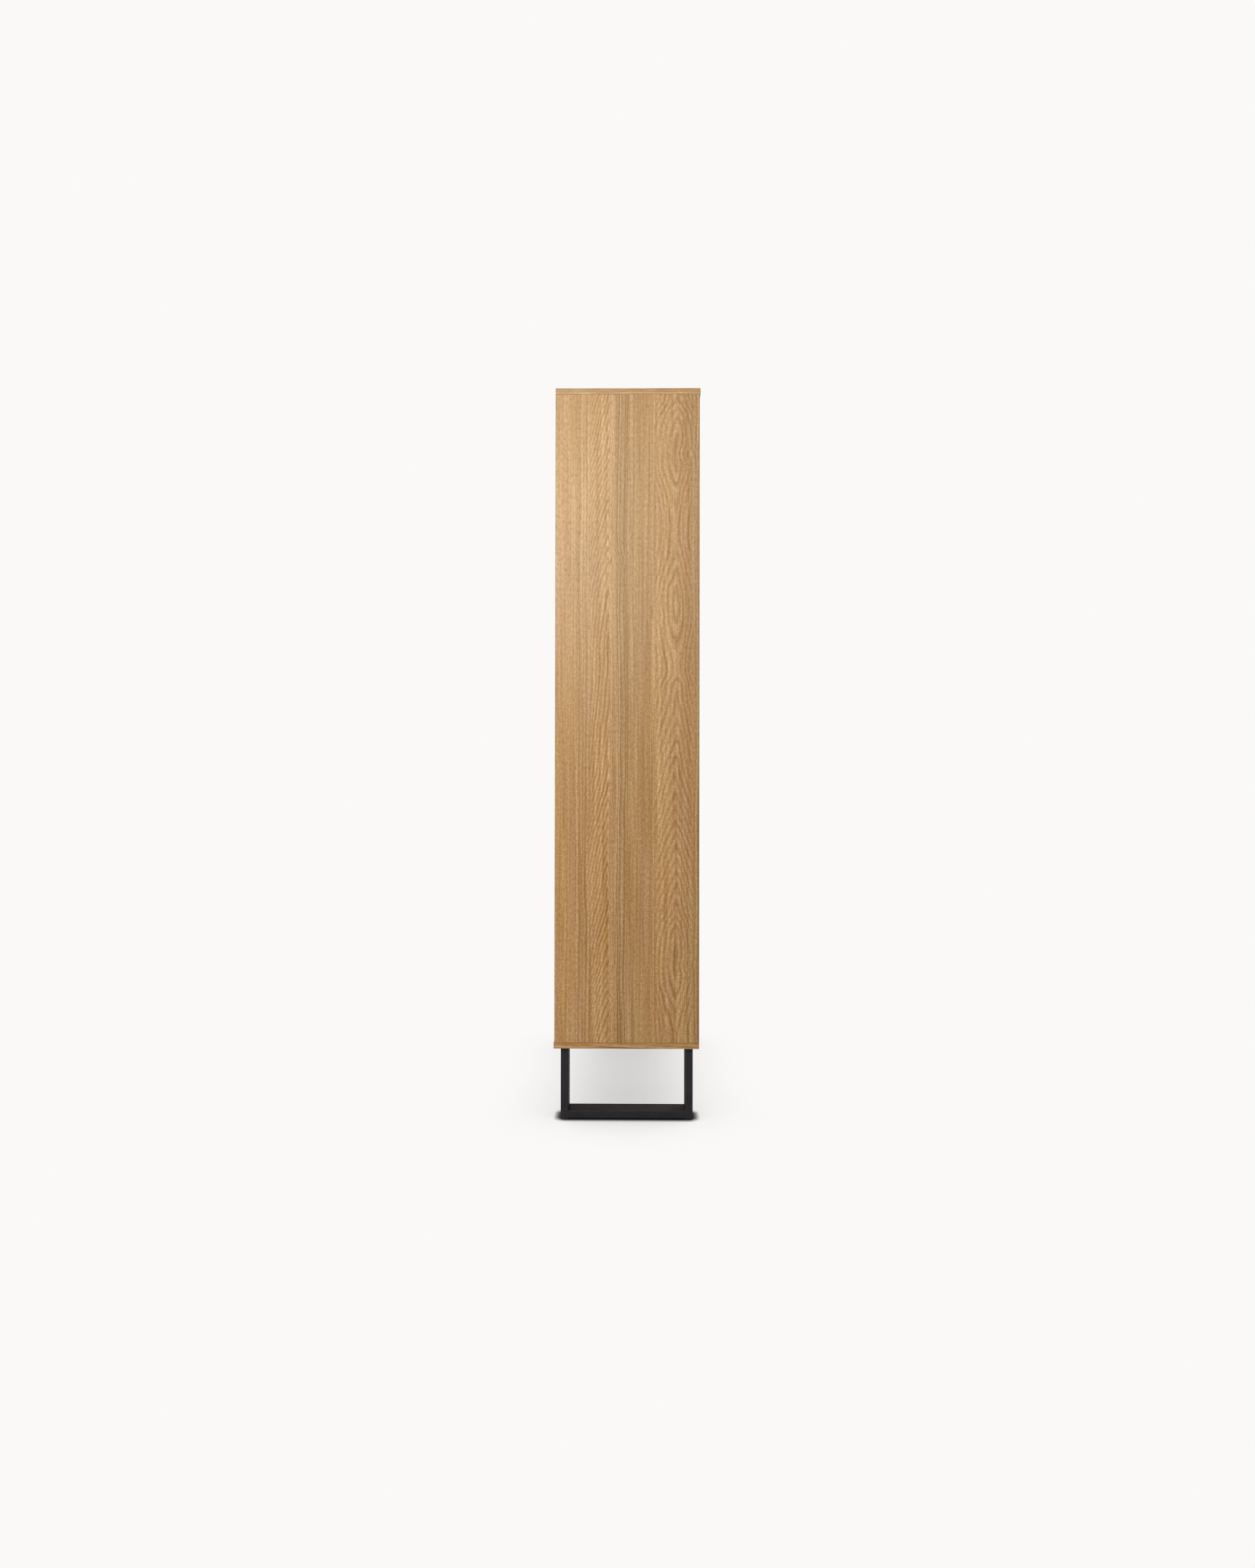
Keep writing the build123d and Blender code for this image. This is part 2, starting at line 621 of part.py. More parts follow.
def pull_pocket():
    wide = PULL_WIDE - 2 * PULL_RIM
    tall = PULL_TALL - 2 * PULL_RIM
    seat = slab(PULL_WIDE + 2 * FIT, PULL_TALL + 2 * FIT, PULL_CORNER, -1, PULL_FLANGE)
    return seat + slab(wide + 2 * FIT, tall + 2 * FIT, PULL_CORNER - 1, -1, PULL_DEEP + FIT)


def strike_spot(side, level):
    """Middle of the strike plate on the back of a door."""
    high = door_span(level)[1]
    return side * MAGNET_X, DOOR_BACK, high - 1 - STRIKE[2] / 2


def strike_plate(side, level):
    x, y, z = strike_spot(side, level)
    wide, thick, tall = STRIKE
    plate = block(x - wide / 2, x + wide / 2, y, y + thick, z - tall / 2, z + tall / 2)
    plate = fillet(plate.edges().filter_by(Axis.Y), 2)
    hole = placed(sunk_hole(STRIKE_SCREW), (x, y + thick, z), (0, 1, 0))
    return plate - hole


def door(side, level):
    low, high = door_span(level)
    x_edge = side * (X_IN - DOOR_GAP)
    x_meet = side * DOOR_GAP / 2
    panel = board(min(x_edge, x_meet), max(x_edge, x_meet), FRONT, DOOR_BACK, low, high, DOOR_EDGE)
    cuts = [at_pivot(plate_pocket(), side, z, outward) for z, outward in pivot_plate_ends(level)]
    pull_x, pull_z = pull_spot(side, level)
    cuts.append(Pos(pull_x, FRONT, pull_z) * pull_pocket())
    strike_hole = pilot_hole(STRIKE_SCREW, STRIKE[1])
    cuts.append(placed(strike_hole, strike_spot(side, level), (0, -1, 0)))
    return panel - cuts


# ---------------------------------------------------------------- build and write
def write_carcass():
    save("top_board", top_board())
    save("bottom_board", bottom_board())
    save("left_side_panel", side_panel(-1))
    save("right_side_panel", side_panel(1))
    save("middle_fixed_shelf", middle_shelf())
    save("upper_back_panel", back_panel(Z_MID_HIGH, Z_TOP_BOARD) - wall_screw_holes())
    save("lower_back_panel", back_panel(Z_FLOOR_BOARD, Z_MID_LOW))
    frames = joint_frames()
    save("cam_locks", *[at_joint(cam_lock(), f, y) for f in frames for y in CAM_ROWS])
    save("cam_bolts", *[at_joint(cam_bolt(), f, y) for f in frames for y in CAM_ROWS])
    save("cam_covers", *[at_joint(cam_cover(), f, y) for f in frames for y in CAM_ROWS])
    save("dowels", *[at_joint(dowel(), f, y) for f in frames for y in DOWEL_ROWS])


def write_shelves():
    names = ("lower_loose_shelf", "upper_loose_shelf_low", "upper_loose_shelf_high")
    supports = []
    for name, level in zip(names, shelf_levels()):
        save(name, loose_shelf(level))
        for side in (-1, 1):
            for y in PIN_ROWS:
                supports.append(mirrored(Pos(X_IN, y, level - PIN_DROP) * shelf_support(), side))
    save("shelf_supports", *supports)


def write_inside_hardware():
    save("pivot_bushes", *[placed(pivot_bush(), place, into) for place, into in bush_spots()])
    pan_head = screw(CATCH_SCREW, countersunk=False)
    catch_screws = []
    magnets = []
    for name, ceiling in (("upper", Z_TOP_BOARD), ("lower", Z_MID_LOW)):
        save(f"{name}_catch_housing", catch_housing(ceiling))
        magnets += [magnet_block(side, ceiling) for side in (-1, 1)]
        for x, y, z in catch_screw_spots(ceiling):
            catch_screws.append(placed(pan_head, (x, y, z - CATCH_PLATE), (0, 0, -1)))
    save("catch_magnets", *magnets)
    save("catch_screws", *catch_screws)
    save("wall_brackets", *[wall_bracket(side) for side in (-1, 1)])
    pan_head = screw(BRACKET_SCREW, countersunk=False)
    spots = [(x, y, z - BRACKET_THICK) for x, y, z in bracket_screw_spots()]
    save("wall_bracket_screws", *[placed(pan_head, spot, (0, 0, -1)) for spot in spots])


def write_legs():
    for side, hand in ((-1, "left"), (1, "right")):
        save(f"{hand}_leg_front_post", leg_post(side, -1))
        save(f"{hand}_leg_rear_post", leg_post(side, 1))
        save(f"{hand}_leg_floor_bar", leg_floor_bar(side))
        save(f"{hand}_leg_mounting_plates", *[leg_plate(side, end) for end in (-1, 1)])
    save("floor_glides", *[floor_glide(side, end) for side in (-1, 1) for end in (-1, 1)])
    pan_head = screw(LEG_SCREW, countersunk=False)
    spots = [(x, y, z - LEG_PLATE) for x, y, z in leg_screw_spots()]
    save("leg_screws", *[placed(pan_head, spot, (0, 0, -1)) for spot in spots])


def write_door(side, level):
    name = f"{level}_{'left' if side < 0 else 'right'}_door"
    save(name, door(side, level))
    pull_x, pull_z = pull_spot(side, level)
    save(f"{name}_flush_pull", Pos(pull_x, FRONT, pull_z) * flush_pull())
    plates = []
    screws = []
    for z, outward in pivot_plate_ends(level):
        plates.append(at_pivot(pivot_plate(), side, z, outward))
        for run in PLATE_SCREWS:
            sunk = Pos(-run, 0, 0) * screw(PIVOT_SCREW)
            screws.append(at_pivot(sunk, side, z, outward))
    x, y, z = strike_spot(side, level)
    screws.append(placed(screw(STRIKE_SCREW), (x, y + STRIKE[1], z), (0, 1, 0)))
    save(f"{name}_pivot_plates", *plates)
    save(f"{name}_screws", *screws)
    save(f"{name}_strike_plate", strike_plate(side, level))


os.makedirs("parts", exist_ok=True)
write_carcass()
write_shelves()
write_inside_hardware()
write_legs()
for door_level in ("upper", "lower"):
    for door_side in (-1, 1):
        write_door(door_side, door_level)
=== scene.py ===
"""The looks of a tall oak-foil pantry cabinet on black sled leg frames, around its CAD model."""
import json
import math
import bpy
from mathutils import Matrix, Vector


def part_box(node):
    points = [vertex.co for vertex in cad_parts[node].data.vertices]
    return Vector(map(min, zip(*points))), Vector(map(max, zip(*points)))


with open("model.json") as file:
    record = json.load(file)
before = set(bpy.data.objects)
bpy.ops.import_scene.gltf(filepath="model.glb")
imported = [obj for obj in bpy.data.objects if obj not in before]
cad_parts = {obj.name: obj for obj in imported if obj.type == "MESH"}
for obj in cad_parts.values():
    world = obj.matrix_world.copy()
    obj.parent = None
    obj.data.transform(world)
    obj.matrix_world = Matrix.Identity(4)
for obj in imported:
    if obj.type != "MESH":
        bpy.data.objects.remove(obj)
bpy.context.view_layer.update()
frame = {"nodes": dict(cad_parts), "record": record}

MM = 1000.0                     # millimetres in a metre, for grain worked out in millimetres
BACKDROP = (0.956, 0.947, 0.930)
CORNER = (0.69, 0.71)           # a face looks along an axis once its normal's part in it is so big


# ---------------------------------------------------------------- node helpers
class Tree:
    """A short way to write a node tree: every helper returns an output socket."""

    def __init__(self, tree):
        self.tree = tree
        self.tree.nodes.clear()

    def node(self, kind, inputs=(), **settings):
        made = self.tree.nodes.new(kind)
        for key, value in settings.items():
            setattr(made, key, value)
        for key, value in dict(inputs).items():
            self.put(made.inputs[key], value)
        return made

    def put(self, socket, value):
        if isinstance(value, bpy.types.NodeSocket):
            self.tree.links.new(value, socket)
        else:
            socket.default_value = value

    def math(self, operation, a, b=0.0, c=0.0):
        return self.node("ShaderNodeMath", {0: a, 1: b, 2: c}, operation=operation).outputs[0]

    def add(self, a, b):
        return self.math("ADD", a, b)

    def mul(self, a, b):
        return self.math("MULTIPLY", a, b)

    def point(self, x, y, z=0.0):
        return self.node("ShaderNodeCombineXYZ", {0: x, 1: y, 2: z}).outputs[0]

    def noise(self, x, y, z=0.0, detail=2.0, roughness=0.5):
        """Noise from 0 to 1, around 0.5, at a point that is already scaled."""
        inputs = {"Vector": self.point(x, y, z), "Scale": 1.0}
        inputs.update({"Detail": detail, "Roughness": roughness})
        return self.node("ShaderNodeTexNoise", inputs).outputs[0]

    def noise_over(self, position, per_mm, detail=2.0, roughness=0.5):
        """Noise over X, Y and Z in mm, with so many swings a millimetre along each of them."""
        scaled = (self.mul(value, rate) for value, rate in zip(position, per_mm))
        return self.noise(*scaled, detail, roughness)

    def wave(self, x, y, size, z=0.0):
        """Noise around 0 that reaches about plus and minus size."""
        return self.math("MULTIPLY_ADD", self.noise(x, y, z), 2.0 * size, -size)

    def blend(self, factor, a, b):
        """The number a where factor is 0 and b where it is 1."""
        return self.math("MULTIPLY_ADD", factor, self.math("SUBTRACT", b, a), a)

    def vector(self, operation, inputs):
        return self.node("ShaderNodeVectorMath", inputs, operation=operation).outputs[0]

    def scale(self, colour, factor):
        return self.vector("SCALE", {0: colour, "Scale": factor})

    def shade(self, colour, factor, weights):
        """The colour scaled by a factor near 1, which works more or less on each channel."""
        change = self.scale(weights, self.math("SUBTRACT", factor, 1.0))
        shaded = self.vector("MULTIPLY_ADD", {0: colour, 1: change, 2: colour})
        return self.vector("MAXIMUM", {0: shaded, 1: (0.0, 0.0, 0.0)})

    def ramp(self, value, stops, interpolation="EASE"):
        """A grey level that follows stops of (place from 0 to 1, level from 0 to 1)."""
        made = self.node("ShaderNodeValToRGB", {0: value})
        made.color_ramp.interpolation = interpolation
        elements = made.color_ramp.elements
        while len(elements) < len(stops):
            elements.new(0.5)
        for element, (at, level) in zip(elements, stops):
            element.position = at
            element.color = (level, level, level, 1.0)
        return made.outputs[0]

    def step(self, value, low, high, out_low=0.0, out_high=1.0):
        """A smooth step from out_low to out_high as value goes from low to high."""
        inputs = dict(enumerate((value, low, high, out_low, out_high)))
        made = self.node("ShaderNodeMapRange", inputs, interpolation_type="SMOOTHSTEP")
        return made.outputs[0]

    def mix(self, factor, a, b):
        """The colour a where factor is 0 and b where it is 1."""
        a, b = (c if isinstance(c, bpy.types.NodeSocket) else (*c, 1.0) for c in (a, b))
        made = self.node("ShaderNodeMix", data_type="RGBA")
        for socket, value in zip((made.inputs[0], made.inputs[6], made.inputs[7]), (factor, a, b)):
            self.put(socket, value)
        return made.outputs[2]

    def bump(self, height, distance, strength):
        inputs = {"Height": height, "Distance": distance, "Strength": strength}
        return self.node("ShaderNodeBump", inputs).outputs[0]


def new_material(name):
    material = bpy.data.materials.new(name)
    material.use_nodes = True
    return material, Tree(material.node_tree)


def surface(tree, colour, roughness, normal, metallic=0.0, specular=0.5):
    """The one Principled shader of a material, joined to its output."""
    shader = tree.node("ShaderNodeBsdfPrincipled")
    tree.put(shader.inputs["Base Color"], colour)
    tree.put(shader.inputs["Roughness"], roughness)
    shader.inputs["Metallic"].default_value = metallic
    shader.inputs["Specular IOR Level"].default_value = specular
    tree.put(shader.inputs["Normal"], normal)
    tree.node("ShaderNodeOutputMaterial", {0: shader.outputs[0]})


def place(tree):
    """X, Y and Z on the piece at rest in mm, how squarely it faces each axis, and its normal."""
    coordinates = tree.node("ShaderNodeTexCoord")
    parts = tree.node("ShaderNodeSeparateXYZ", {0: coordinates.outputs["Object"]})
    normal = tree.node("ShaderNodeSeparateXYZ", {0: coordinates.outputs["Normal"]})
    position = [tree.mul(parts.outputs[i], MM) for i in range(3)]
    facing = [tree.math("ABSOLUTE", normal.outputs[i]) for i in range(3)]
    return position, facing, normal.outputs


# ---------------------------------------------------------------- oak foil
OAK_PALE = (0.712, 0.446, 0.224)
OAK_GROUND = (0.541, 0.300, 0.115)
OAK_PINK = (0.500, 0.268, 0.119)
OAK_DARK = (0.280, 0.116, 0.010)
OAK_SHADE = (0.65, 1.0, 1.95)   # light and dark streaks differ most in blue and least in red
OAK_SPECULAR = 0.88             # the foil's satin sheen
MOST_TONE = 1.25                # the scale of the tones of a strip's bands
RING_SPACING = 10.5             # mm between two growth rings where they run straight
PRINT_LENGTH = 1395.0           # mm after which the print on the foil starts again
PRINT_START = 426.0             # mm above the floor where it starts on the right side
MOST_RINGS = 60.0               # the ramps of ring counts hold from minus SPARE_RINGS
SPARE_RINGS = 12.0              # to MOST_RINGS plus SPARE_RINGS

# Growth rings counted up the middle of a heart, along one print length: rising counts make
# arches that point up, a low makes an eye and a high makes a waist. Each adds up to whole rings.
FEATHERS = [(0.0, 0), (0.25, 11), (0.40, 16), (0.62, 18), (0.75, 20), (0.86, 25), (1.0, 31)]
CATHEDRALS = [
    (0.0, 1), (0.04, 1.1), (0.10, 2.6), (0.30, 11), (0.55, 19), (0.60, 19), (0.66, 17),
    (0.70, 16.6), (0.75, 17.4), (0.81, 19.6), (0.87, 20), (0.93, 18.4), (0.97, 17.1), (1.0, 17),
]
# Hearts across the roll of foil: middle, width and reach in mm, lean to the right, counts, shift.
HEARTS = [
    (147.0, 10.5, 31.0, 0.45, FEATHERS, 0.0),
    (331.0, 30.0, 52.0, 0.10, CATHEDRALS, 0.0),
    (545.0, 28.0, 50.0, -0.15, CATHEDRALS, 0.38),
    (742.0, 12.0, 34.0, 0.30, FEATHERS, 0.61),
    (948.0, 13.0, 37.0, -0.35, FEATHERS, 0.27),
    (1150.0, 30.0, 52.0, 0.12, CATHEDRALS, 0.72),
    (1365.0, 11.0, 33.0, 0.40, FEATHERS, 0.45),
]
ARCH_POWER = 1.2                # 2 makes round arches, 1 makes pointed ones
HEART_MARGIN = 90.0             # mm beyond a strip of foil where a heart can still reach into it
# Pin knots: middle across, share of the print along, sideways push of the rings in mm.
KNOTS = [
    (168.0, 0.791, -9.0),
    (352.0, 0.0, 8.0),
    (276.0, 0.686, -8.0),
    (610.0, 0.33, 9.0),
    (1080.0, 0.52, -9.0),
]
KNOT_MARGIN = 60.0              # mm beyond a strip where a knot can still push its rings
KNOT_WIDTH, KNOT_LENGTH = 26.0, 17.0    # half sizes of the area that a knot disturbs, in mm

# The bands glued on a board's edges: mm of foil across it for each mm of its thickness, where
# that begins on the board's strip, and mm of foil along it for each mm of a board's end.
EDGE_WIDTH, EDGE_START, END_LENGTH = 1.25, 61.0, 0.15
GLUE_LINE = (1.0, 1.5)          # mm in from an edge where its glue line begins to fade and ends


def ring_count(tree, share, counts):
    """Growth rings at a share of the print's length, smooth where one print meets the next."""
    whole = counts[-1][1] - counts[0][1]
    before = (counts[-2][0] - 1.0, counts[-2][1] - whole)
    after = (counts[1][0] + 1.0, counts[1][1] + whole)
    low, high = before[0], after[0]
    scale = MOST_RINGS + 2 * SPARE_RINGS
    stops = []
    for at, count in (before, *counts, after):
        stops.append(((at - low) / (high - low), (count + SPARE_RINGS) / scale))
    moved = tree.mul(tree.math("SUBTRACT", share, low), 1 / (high - low))
    return tree.mul(tree.ramp(moved, stops, "B_SPLINE"), scale)


def arches(tree, across, share, start, stop):
    """Growth rings in the arches of flat-cut oak, and 0 there to 1 in the straight grain."""
    rings, outside = 0.0, 1.0
    for middle, width, reach, lean, counts, shift in HEARTS:
        if not start - HEART_MARGIN < middle < stop + HEART_MARGIN:
            continue
        side = tree.math("SUBTRACT", across, middle)
        size = tree.add(tree.math("ABSOLUTE", side), tree.mul(side, lean))
        count = ring_count(tree, tree.math("FRACT", tree.add(share, shift)), counts)
        count = tree.add(count, tree.mul(tree.math("POWER", size, ARCH_POWER), 1 / width))
        inside = tree.math("LESS_THAN", size, 1.2 * reach)
        rings = tree.add(rings, tree.mul(inside, count))
        outside = tree.mul(outside, tree.step(size, 0.72 * reach, 1.15 * reach))
    return rings, outside


def ring_lines(tree, rings):
    """The dark early wood and the pale late wood of each growth ring."""
    phase = tree.math("FRACT", rings)
    dark = [(0.0, 0.35), (0.10, 1.0), (0.26, 0.7), (0.42, 0.0), (0.92, 0.0), (1.0, 0.35)]
    pale = [(0.40, 0.0), (0.62, 1.0), (0.84, 0.6), (0.97, 0.0)]
    return tree.ramp(phase, dark), tree.ramp(phase, pale)


def knot_push(tree, across, share, start, stop):
    """How far the rings are pushed aside by the pin knots."""
    push = 0.0
    for middle, place_at, size in KNOTS:
        if not start - KNOT_MARGIN < middle < stop + KNOT_MARGIN:
            continue
        side = tree.mul(tree.math("SUBTRACT", across, middle), 1 / KNOT_WIDTH)
        off = tree.math("WRAP", tree.math("SUBTRACT", share, place_at), 0.5, -0.5)
        off = tree.mul(off, PRINT_LENGTH / KNOT_LENGTH)
        square = tree.add(tree.mul(side, side), tree.mul(off, off))
        bell = tree.math("DIVIDE", size, tree.add(1.0, tree.mul(square, square)))
        push = tree.add(push, bell)
    return push


def oak_surface(tree, across, along, start, stop, bands=None):
    """Colour, roughness and height of printed oak foil.

    across and along are mm on the roll of foil; start and stop are the strip of it in use.
    bands are stops of (mm, tone, line strength) for a strip with set bands.
    """
    def wave(per_across, per_along, size, layer):
        return tree.wave(tree.mul(across, per_across), tree.mul(along, per_along), size, layer)

    def noise(per_across, per_along, layer, *settings):
        x, y = tree.mul(across, per_across), tree.mul(along, per_along)
        return tree.noise(x, y, layer, *settings)

    share = tree.math("FRACT", tree.mul(along, 1 / PRINT_LENGTH))
    wander = wave(0.007, 0.0022, 9.0, 3.0)
    ripple = wave(0.03, 0.011, 3.2, 4.7)
    tremble = wave(0.09, 0.03, 0.8, 8.3)
    bent = tree.add(tree.add(tree.add(across, wander), ripple), tremble)
    bent = tree.add(bent, knot_push(tree, across, share, start, stop))

    rings, outside = arches(tree, bent, share, start, stop)
    rings = tree.add(rings, wave(0.035, 0.007, 0.70, 7.7))
    uneven = tree.wave(tree.mul(bent, 0.05), 3.0, 1.6, 7.7)
    straight = tree.math("MULTIPLY_ADD", bent, 1 / RING_SPACING, uneven)
    group = tree.noise(tree.mul(bent, 0.075), tree.mul(along, 0.0006), 14.0, 1.0)
    groups = tree.step(group, 0.30, 0.70, -1.0, 1.0)
    both = zip(ring_lines(tree, rings), ring_lines(tree, straight))
    dark_line, pale_line = (tree.blend(outside, arch, line) for arch, line in both)
    some_rings = tree.noise(tree.mul(tree.blend(outside, rings, straight), 0.55), 8.0, 17.0)
    dark_line = tree.mul(dark_line, tree.step(some_rings, 0.36, 0.60, 0.40, 1.15))

    if bands:
        width = bands[-1][0]
        tones = [(mm / width, tone / MOST_TONE) for mm, tone, _ in bands]
        strengths = [(mm / width, strength) for mm, _, strength in bands]
        place_across = tree.mul(tree.add(across, tree.mul(wander, 0.4)), 1 / width)
        tone = tree.mul(tree.ramp(place_across, tones, "LINEAR"), MOST_TONE)
        strength = tree.ramp(place_across, strengths, "LINEAR")
    else:
        tone = tree.step(noise(0.014, 0.0009, 51.0), 0.34, 0.68, 0.88, 1.05)
        strength = tree.step(noise(0.017, 0.0013, 11.0), 0.34, 0.52, 0.22, 1.0)

    group_tone = tree.math("MULTIPLY_ADD", tree.mul(groups, strength), 0.20, 1.0)
    bead = tree.step(noise(0.28, 0.10, 21.0), 0.30, 0.62, 0.45, 1.0)
    patch = tree.step(noise(0.05, 0.008, 26.0), 0.3, 0.66, 0.6, 1.0)
    strength = tree.mul(strength, tree.mul(bead, patch))
    pebble = noise(0.34, 0.27, 31.0, 2.0, 0.6)
    tick = tree.step(noise(0.75, 0.07, 36.0, 1.0), 0.50, 0.68)
    fleck = tree.step(noise(0.6, 0.15, 41.0, 1.0), 0.55, 0.72)

    pink = tree.step(noise(0.02, 0.0016, 61.0), 0.46, 0.62, 0.0, 0.6)
    colour = tree.mix(pink, OAK_GROUND, OAK_PINK)
    colour = tree.mix(tree.mul(dark_line, strength), colour, OAK_DARK)
    colour = tree.mix(tree.mul(tree.mul(pale_line, strength), 0.80), colour, OAK_PALE)
    colour = tree.mix(tree.mul(tick, 0.27), colour, OAK_DARK)
    colour = tree.mix(tree.mul(fleck, 0.22), colour, OAK_PALE)
    coarse = tree.step(noise(0.15, 0.10, 71.0, 1.0), 0.3, 0.7, 0.88, 1.12)
    stipple = tree.mul(tree.step(pebble, 0.28, 0.72, 0.78, 1.20), coarse)
    streak = tree.step(noise(0.17, 0.003, 81.0), 0.32, 0.68, 0.83, 1.17)
    colour = tree.shade(colour, tree.mul(stipple, tree.mul(group_tone, streak)), OAK_SHADE)
    colour = tree.scale(colour, tone)

    height = tree.math("MULTIPLY_ADD", tick, -0.5, tree.mul(tree.mul(dark_line, strength), -0.8))
    height = tree.add(height, tree.mul(pebble, 0.7))
    roughness = tree.math("MULTIPLY_ADD", tick, 0.10, tree.step(pebble, 0.3, 0.7, 0.40, 0.50))
    return colour, roughness, height


def oak(node, grain, start, shift, bands=None):
    """Oak foil on a board whose grain runs along an axis, cut from a strip of the roll.

    start is where its front, left or lower long edge lies on the roll, and shift moves the
    print along it. Long edges and ends have bands whose grain runs along them.
    """
    low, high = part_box(node)
    size = [MM * (b - a) for a, b in zip(low, high)]
    grain_axis = "XYZ".index(grain)
    others = [i for i in range(3) if i != grain_axis]
    across_axis, thick_axis = sorted(others, key=lambda i: -size[i])
    material, tree = new_material("oak_" + node)
    position, facing, _ = place(tree)
    local = [tree.math("SUBTRACT", position[i], MM * low[i]) for i in range(3)]

    on_end = tree.step(facing[grain_axis], *CORNER)
    on_edge = tree.math("MAXIMUM", on_end, tree.step(facing[across_axis], *CORNER))
    edge_across = tree.math("MULTIPLY_ADD", local[thick_axis], EDGE_WIDTH, start + EDGE_START)
    face_across = tree.add(local[across_axis], start)
    across = tree.blend(on_edge, face_across, edge_across)
    along = tree.blend(on_end, position[grain_axis], tree.mul(local[across_axis], END_LENGTH))
    along = tree.add(along, shift - PRINT_START)
    stop = start + size[across_axis]
    colour, roughness, height = oak_surface(tree, across, along, start, stop, bands)

    # The band glued on the edges shows as a thin line around the face.
    margins = []
    for axis in (across_axis, grain_axis):
        margins.append(local[axis])
        margins.append(tree.math("SUBTRACT", size[axis], local[axis]))
    near = margins[0]
    for margin in margins[1:]:
        near = tree.math("MINIMUM", near, margin)
    glue = tree.mul(tree.step(near, *GLUE_LINE, 1.0, 0.0), tree.math("SUBTRACT", 1.0, on_edge))
    colour = tree.mix(tree.mul(glue, 0.55), colour, OAK_DARK)
    colour = tree.scale(colour, tree.blend(on_edge, 1.0, 0.96))
    surface(tree, colour, roughness, tree.bump(height, 0.00010, 0.7), specular=OAK_SPECULAR)
    return material


# ---------------------------------------------------------------- other materials
def powder_coat(name, texture=1.4):
    """Satin black powder coat: a fine orange-peel skin with a few pale dust specks."""
    material, tree = new_material(name)
    position, _, _ = place(tree)
    skin = tree.noise_over(position, (texture,) * 3, 3.0, 0.6)
    broad = tree.step(tree.noise_over(position, (0.02,) * 3), 0.35, 0.65)
    speck = tree.step(tree.noise_over(position, (0.55,) * 3, 1.0), 0.70, 0.78)
    colour = tree.mix(broad, (0.0148, 0.0154, 0.0272), (0.0198, 0.0203, 0.0335))
    colour = tree.mix(tree.mul(speck, 0.5), colour, (0.10, 0.10, 0.10))
    roughness = tree.step(skin, 0.3, 0.7, 0.40, 0.55)
    surface(tree, colour, roughness, tree.bump(skin, 0.00012, 0.55), specular=0.38)
    return material


def plated_steel(name, colour_a, colour_b, rough):
    """Zinc-plated steel: faint rolling lines, cloudy passivation and fine scratches."""
    material, tree = new_material(name)
    position, _, _ = place(tree)
    cloud = tree.noise_over(position, (0.12,) * 3, 3.0)
    lines = tree.noise_over(position, (0.3, 4.0, 4.0))
    colour = tree.mix(tree.step(cloud, 0.35, 0.65), colour_a, colour_b)
    roughness = tree.step(lines, 0.3, 0.7, rough - 0.06, rough + 0.08)
    roughness = tree.add(roughness, tree.mul(cloud, 0.08))
    surface(tree, colour, roughness, tree.bump(lines, 0.00004, 0.5), metallic=1.0)
    return material


def moulded_plastic(name, colour_a, colour_b, rough):
    """Moulded plastic with a fine spark-eroded grain."""
    material, tree = new_material(name)
    position, _, _ = place(tree)
    grain = tree.noise_over(position, (2.2,) * 3)
    cloud = tree.noise_over(position, (0.08,) * 3)
    colour = tree.mix(tree.step(cloud, 0.3, 0.7), colour_a, colour_b)
    roughness = tree.step(grain, 0.3, 0.7, rough - 0.05, rough + 0.07)
    surface(tree, colour, roughness, tree.bump(grain, 0.00005, 0.5))
    return material


def beech(name):
    """Turned beech: short dark flecks along the peg."""
    material, tree = new_material(name)
    position, _, _ = place(tree)
    fibre = tree.noise_over(position, (0.4, 2.5, 0.4))
    fleck = tree.step(fibre, 0.55, 0.70)
    colour = tree.mix(tree.mul(fleck, 0.6), (0.62, 0.42, 0.25), (0.40, 0.22, 0.11))
    surface(tree, colour, tree.step(fibre, 0.3, 0.7, 0.55, 0.7), tree.bump(fibre, 0.0001, 0.5))
    return material


BACK_MIDDLE, BACK_REACH = 700.0, 440.0  # the strip of foil on the back panels, in mm
SCREEN_PITCH = 1.6              # mm between two wires of the screen pressed into raw hardboard


def hardboard(name):
    """Back panel: an oak print towards the shelves, raw brown hardboard behind."""
    material, tree = new_material(name)
    position, _, normal = place(tree)
    x, _, z = position
    across = tree.add(x, BACK_MIDDLE)
    start, stop = BACK_MIDDLE - BACK_REACH, BACK_MIDDLE + BACK_REACH
    print_colour, print_rough, height = oak_surface(tree, across, z, start, stop)
    fibre = tree.noise_over(position, (0.35,) * 3, 4.0, 0.65)
    mesh = (tree.math("SINE", tree.mul(value, 2 * math.pi / SCREEN_PITCH)) for value in (x, z))
    screen = tree.mul(*mesh)
    raw = tree.mix(tree.step(fibre, 0.3, 0.7), (0.17, 0.095, 0.05), (0.29, 0.175, 0.095))
    raw = tree.mix(tree.step(screen, 0.2, 0.9, 0.0, 0.3), raw, (0.11, 0.06, 0.03))
    behind = tree.step(normal[1], 0.49, 0.51)
    colour = tree.mix(behind, print_colour, raw)
    roughness = tree.blend(behind, print_rough, 0.8)
    relief = tree.add(tree.mul(height, 0.4), tree.mul(tree.mul(behind, screen), 0.8))
    surface(tree, colour, roughness, tree.bump(relief, 0.00015, 0.5))
    return material


# ---------------------------------------------------------------- dress the CAD nodes
def paint(node, material):
    piece = frame["nodes"][node]
    piece.data.materials.clear()
    piece.data.materials.append(material)
    for face in piece.data.polygons:
        face.material_index = 0


